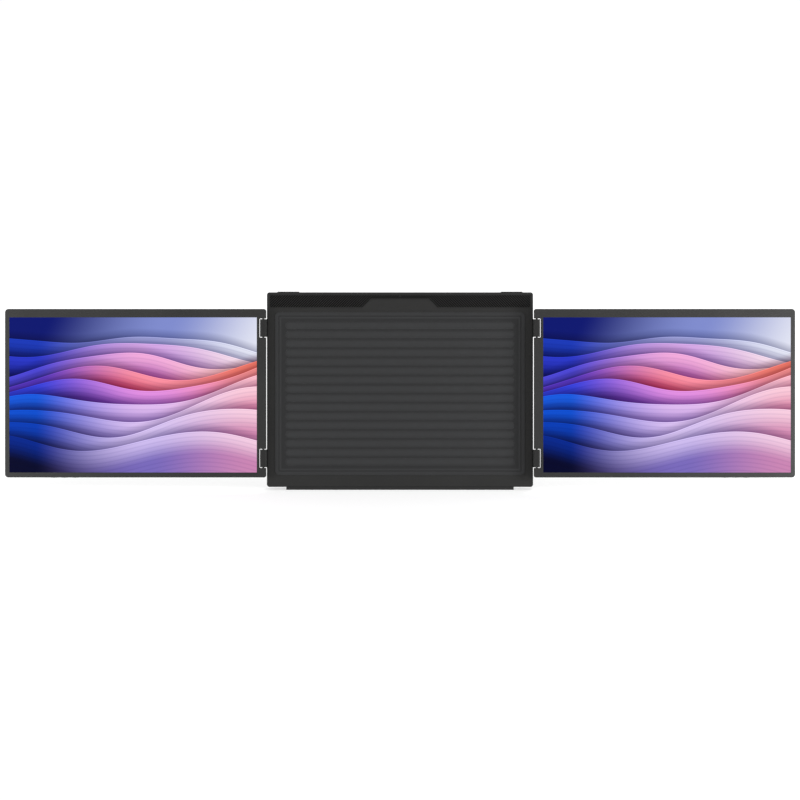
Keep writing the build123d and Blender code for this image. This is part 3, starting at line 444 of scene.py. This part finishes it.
# ---------------------------------------------------------------- each slot's finish
FINISHES = {
    "body_shell": moulded("body_shell", (0.0175, 0.0175, 0.0172), specular=0.1),
    "grille": moulded("grille", (0.0195, 0.0195, 0.0192), 0.6, grain=0.35 * MM, specular=0.06),
    "mesh": woven_mesh("mesh"),
    "soft_rubber": rubber("soft_rubber", (0.007, 0.007, 0.007)),
    # The pad liner gets painted shade in its hollows, down to 0.35 mm behind its face.
    "pad_liner": rubber("pad_liner", (0.013, 0.0134, 0.0142), 0.8, grain=1.1 * MM, painted_shade_depth=0.35 * MM),
    "magnet": steel("magnet", (0.5, 0.5, 0.51), 0.25),
    "sheet_metal": steel("sheet_metal", (0.6, 0.6, 0.61), 0.35, brush=(1, 12, 12)),
    "board": circuit("board"),
    "heat_sink": anodised("heat_sink", (0.03, 0.03, 0.032)),
    "screw_steel": steel("screw_steel", (0.22, 0.22, 0.23), 0.3),
    "connector_steel": steel("connector_steel", (0.55, 0.55, 0.56), 0.25, brush=(12, 1, 1)),
    "light_pipe": frosted_light("light_pipe"),
    "hinge_metal": anodised("hinge_metal", (0.014, 0.014, 0.0138), 0.5, metallic=0.1, specular=0.15),
    "pin_steel": steel("pin_steel", (0.06, 0.06, 0.06), 0.3, brush=(12, 12, 1)),
    "ribbon": film("ribbon"),
    "bezel": moulded("bezel", (0.022, 0.022, 0.0219), 0.6, grain=0.5 * MM, depth=0.06 * MM,
                     specular=0.08),
    "screen_shell": anodised("screen_shell", (0.05, 0.05, 0.049), 0.38, metallic=0.6),
    "backlight": light_guide("backlight"),
    "button": moulded("button", (0.024, 0.024, 0.024), 0.42, grain=0.3 * MM, depth=0.03 * MM,
                      specular=0.25),
    "leaf": anodised("leaf", (0.085, 0.085, 0.084), 0.36, metallic=0.8),
    "speaker": moulded("speaker", (0.02, 0.02, 0.02), 0.7),
}


def dress():
    """Gives every CAD node the finish of its slot, and each panel its own lit picture."""
    slots = {part["node"]: part["material_slot"] for part in frame["record"]["subparts"]}
    for node, piece in frame["nodes"].items():
        slot = slots[node]
        finish = display(node, middle(node)) if slot == "display" else FINISHES[slot]
        piece.data.materials.clear()
        piece.data.materials.append(finish)


# ---------------------------------------------------------------- meshes
CORNER_STEPS = 12


def rounded_ring(half_width, half_height, radius):
    """Points round a rounded rectangle, anticlockwise from its right side."""
    points = []
    for corner, (side, end) in enumerate(((1, 1), (-1, 1), (-1, -1), (1, -1))):
        for step in range(CORNER_STEPS + 1):
            angle = (corner + step / CORNER_STEPS) * pi / 2
            points.append((side * (half_width - radius) + radius * cos(angle),
                           end * (half_height - radius) + radius * sin(angle)))
    return points


def skin(count, last, start=0):
    """Faces of a closed skin over stacked rings 0 to last, each of count points, numbered from start."""
    faces = [tuple(reversed(range(count)))]
    for ring in range(last):
        for step in range(count):
            here, there = ring * count + step, ring * count + (step + 1) % count
            faces.append((here, there, there + count, here + count))
    faces.append(tuple(range(last * count, (last + 1) * count)))
    return [tuple(start + corner for corner in face) for face in faces]


def mesh_piece(name, points, faces, finish, smooth=True):
    """A new mesh object in the scene, with one finish."""
    mesh = bpy.data.meshes.new(name)
    mesh.from_pydata(points, [], faces)
    if smooth:
        mesh.shade_smooth()
    mesh.materials.append(finish)
    piece = bpy.data.objects.new(name, mesh)
    bpy.context.scene.collection.objects.link(piece)
    return piece


# ---------------------------------------------------------------- the pad that the lid lies on
PAD_CORNER = 6.0 * MM
# How far in from the pad's outline, and how thick there, in mm: a rolled edge, a flat border with a
# pressed groove, and a sunk field that swells a little towards its middle.
PAD_PROFILE = [
    (0.0, 0.0), (0.0, 0.34), (0.08, 0.52), (0.24, 0.65), (0.5, 0.72), (0.9, 0.74), (4.0, 0.74),
    (4.3, 0.70), (4.6, 0.56), (4.9, 0.44), (5.2, 0.40), (5.5, 0.44), (5.8, 0.56), (6.1, 0.70),
    (6.5, 0.74), (7.6, 0.74), (8.0, 0.70), (8.4, 0.58), (8.8, 0.52), (9.4, 0.50), (60.0, 0.52),
    (90.0, 0.53),
]
PAD_THICKNESS = 0.8 * MM
RIB_PITCH = 12.0 * MM           # low ribs across the pad's field, which grip the lid
RIB_HALF_WIDTH = 4.6 * MM
RIB_CREST = 0.2 * MM            # half the width of a rib's flat crest
RIB_SUNK = 0.1 * MM             # a rib's foot below the field's middle
RIB_BULGE = 0.8                 # under 1 makes a rib's sides fuller than a circle's
RIB_END_INSET = 14.0 * MM       # from the pad's outline to the ribs' ends
RIB_END_SHARE = 0.999           # end radius over half width, so that no side shrinks to nothing
RIB_STEPS = 8


def pad_plane():
    """The pad's half width and half height, and what gives a point across and up from its middle
    and out from its back."""
    low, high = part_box("lid_pad")
    half_width = (high.x - low.x) / 2
    half_height = ((high.z - low.z) - PAD_THICKNESS * FACING.z) / UP.z / 2
    back = PAD_FACE - FACING * PAD_THICKNESS

    def spot(x, y, out):
        return back + RIGHT * x + UP * y + FACING * out

    return half_width, half_height, spot


def soft_pad(half_width, half_height, spot):
    """Soft silicone pad on the front cover, with a rolled edge and a groove."""
    points = []
    for inset, lift in PAD_PROFILE:
        inset *= MM
        ring = rounded_ring(half_width - inset, half_height - inset, max(PAD_CORNER - inset, MM))
        points += [spot(x, y, lift * MM) for x, y in ring]
    faces = skin(len(ring), len(PAD_PROFILE) - 1)
    pad = mesh_piece("soft_lid_pad", points, faces, FINISHES["pad_liner"])
    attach(pad, "body")
    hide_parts("lid_pad")


def pad_ribs(half_width, half_height, spot):
    """Low, rounded ribs across the pad's field."""
    foot = PAD_PROFILE[-1][1] * MM - RIB_SUNK
    rib_count = int(2 * (half_height - RIB_END_INSET) / RIB_PITCH) + 1
    points, faces = [], []
    for rib in range(rib_count):
        height = (rib - (rib_count - 1) / 2) * RIB_PITCH
        start = len(points)
        for step in range(RIB_STEPS + 1):
            turn = step / RIB_STEPS * pi / 2
            half = RIB_HALF_WIDTH * cos(turn) ** RIB_BULGE + RIB_CREST
            lift = foot + (PAD_THICKNESS - foot) * sin(turn)
            half_length = half_width - RIB_END_INSET - RIB_HALF_WIDTH + half
            ring = rounded_ring(half_length, half, RIB_END_SHARE * half)
            points += [spot(x, height + y, lift) for x, y in ring]
        faces += skin(len(ring), RIB_STEPS, start)
    ribs = mesh_piece("soft_pad_ribs", points, faces, FINISHES["pad_liner"])
    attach(ribs, "body")


# ---------------------------------------------------------------- raised signs on the buttons
SIGN_SIZE = 1.6 * MM            # across
SIGN_STROKE = 0.28 * MM
SIGN_RISE = 0.14 * MM           # proud of the button
SIGN_SUNK = 0.1 * MM            # into the button
POWER_GAP = 40                  # degrees each side of the break in the power sign's ring
POWER_BAR_START = 0.1 * SIGN_SIZE       # above the ring's centre
POWER_BAR_END = 0.7 * SIGN_SIZE
ARC_STEPS = 24
FACE_DEPTH = 0.01 * MM          # corners this near a button's outermost point are on its face


def bar(half_width, start, end):
    """Outline of a bar along y, anticlockwise."""
    return [(half_width, start), (half_width, end), (-half_width, end), (-half_width, start)]


def broken_ring(radius, half_stroke):
    """Outline of a ring that is open at its top, anticlockwise."""
    angles = [radians(90 + POWER_GAP + (360 - 2 * POWER_GAP) * step / ARC_STEPS)
              for step in range(ARC_STEPS + 1)]
    outer = [((radius + half_stroke) * cos(a), (radius + half_stroke) * sin(a)) for a in angles]
    inner = [((radius - half_stroke) * cos(a), (radius - half_stroke) * sin(a)) for a in angles]
    return outer + inner[::-1]


def sign_outlines(kind):
    """Outlines of one button's sign, anticlockwise, none of which crosses itself."""
    half, stroke = SIGN_SIZE / 2, SIGN_STROKE / 2
    if kind == "minus":
        return [bar(half, -stroke, stroke)]
    if kind == "plus":
        quarter = [(half, -stroke), (half, stroke), (stroke, stroke)]
        turns = ((1, 0), (0, 1), (-1, 0), (0, -1))
        return [[(x * c - y * s, x * s + y * c) for c, s in turns for x, y in quarter]]
    return [broken_ring(half - stroke, stroke), bar(stroke, POWER_BAR_START, POWER_BAR_END)]


def button_sign(side, kind):
    """A raised plus, minus or power sign on the outer face of one button."""
    corners = [vertex.co for vertex in frame["nodes"][f"{side}_{kind}_button"].data.vertices]
    outermost = min(UP.dot(corner) for corner in corners)
    face = [corner for corner in corners if UP.dot(corner) < outermost + FACE_DEPTH]
    centre = sum(face, Vector()) / len(face)
    points, faces = [], []
    for outline in sign_outlines(kind):
        start = len(points)
        for out in (-SIGN_SUNK, SIGN_RISE):
            points += [centre + RIGHT * x + FACING * y - UP * out for x, y in outline]
        faces += skin(len(outline), 1, start)
    sign = mesh_piece(f"{side}_{kind}_sign", points, faces, FINISHES["button"], smooth=False)
    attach(sign, f"{side}_{kind}")


# ---------------------------------------------------------------- stage, light and camera
FLOOR_SIZE = 60.0
FLOOR_TONES = ((0.44, 0.44, 0.44), (0.46, 0.46, 0.46))
FLOOR_GLOW = 1.15               # the floor lights itself in part, so that it stays pale
WORLD_LIGHT = 1.08
# Name, place, width and height, and power in watts.
SOFTBOXES = [
    ("left", (-0.75, -0.3, 0.08), (0.25, 0.4), 4.0),
    ("right", (0.75, -0.3, 0.08), (0.25, 0.4), 7.3),
    ("rear", (0.7, 1.9, 1.5), (1.6, 0.7), 34),
]
VIEW_WIDTH = 1.0551             # what the frame takes in at the screens
CAMERA_DISTANCE = 20.0
AIM_BELOW_SCREENS = 9.28 * MM   # the frame's middle below the screens' middle


def floor():
    """Plain pale floor."""
    made, tree, shader = material("floor")
    tone = blend_colour(tree, noise(tree, 0.6), *FLOOR_TONES)
    feed(tree, shader, {"Base Color": tone,
                        "Emission Color": tone,
                        "Emission Strength": FLOOR_GLOW,
                        "Roughness": 0.9,
                        "Specular IOR Level": 0.1})
    half = FLOOR_SIZE / 2
    corners = [(-half, -half, 0), (half, -half, 0), (half, half, 0), (-half, half, 0)]
    mesh_piece("floor", corners, [(0, 1, 2, 3)], made, smooth=False)


def softbox(name, where, size, power):
    """Area light that faces the middle of the object."""
    light = bpy.data.lights.new(name, "AREA")
    light.shape = "RECTANGLE"
    light.size, light.size_y = size
    light.energy = power
    lamp = bpy.data.objects.new(name, light)
    lamp.location = where
    lamp.rotation_euler = (screens_middle - lamp.location).to_track_quat("-Z", "Y").to_euler()
    bpy.context.scene.collection.objects.link(lamp)


def studio():
    """Even white light all round, and the softboxes."""
    scene = bpy.context.scene
    scene.view_settings.view_transform = "Standard"
    scene.view_settings.look = "None"
    scene.world = bpy.data.worlds.new("studio")
    scene.world.use_nodes = True
    tree = scene.world.node_tree
    feed(tree, tree.nodes["Background"], {"Color": (1.0, 1.0, 1.0, 1.0), "Strength": WORLD_LIGHT})
    for settings in SOFTBOXES:
        softbox(*settings)


def camera():
    """A far camera that looks square on the leaning panel."""
    data = bpy.data.cameras.new("camera")
    data.lens = data.sensor_width * CAMERA_DISTANCE / VIEW_WIDTH
    data.clip_end = 200.0
    view = bpy.data.objects.new("camera", data)
    aim = screens_middle - UP * AIM_BELOW_SCREENS
    turn = Matrix((RIGHT, UP, FACING)).transposed().to_4x4()
    view.matrix_world = Matrix.Translation(aim + FACING * CAMERA_DISTANCE) @ turn
    bpy.context.scene.collection.objects.link(view)
    bpy.context.scene.camera = view


dress()
plane = pad_plane()
soft_pad(*plane)
pad_ribs(*plane)
for screen_side in ("left", "right"):
    for button_kind in ("power", "plus", "minus"):
        button_sign(screen_side, button_kind)
floor()
studio()
camera()
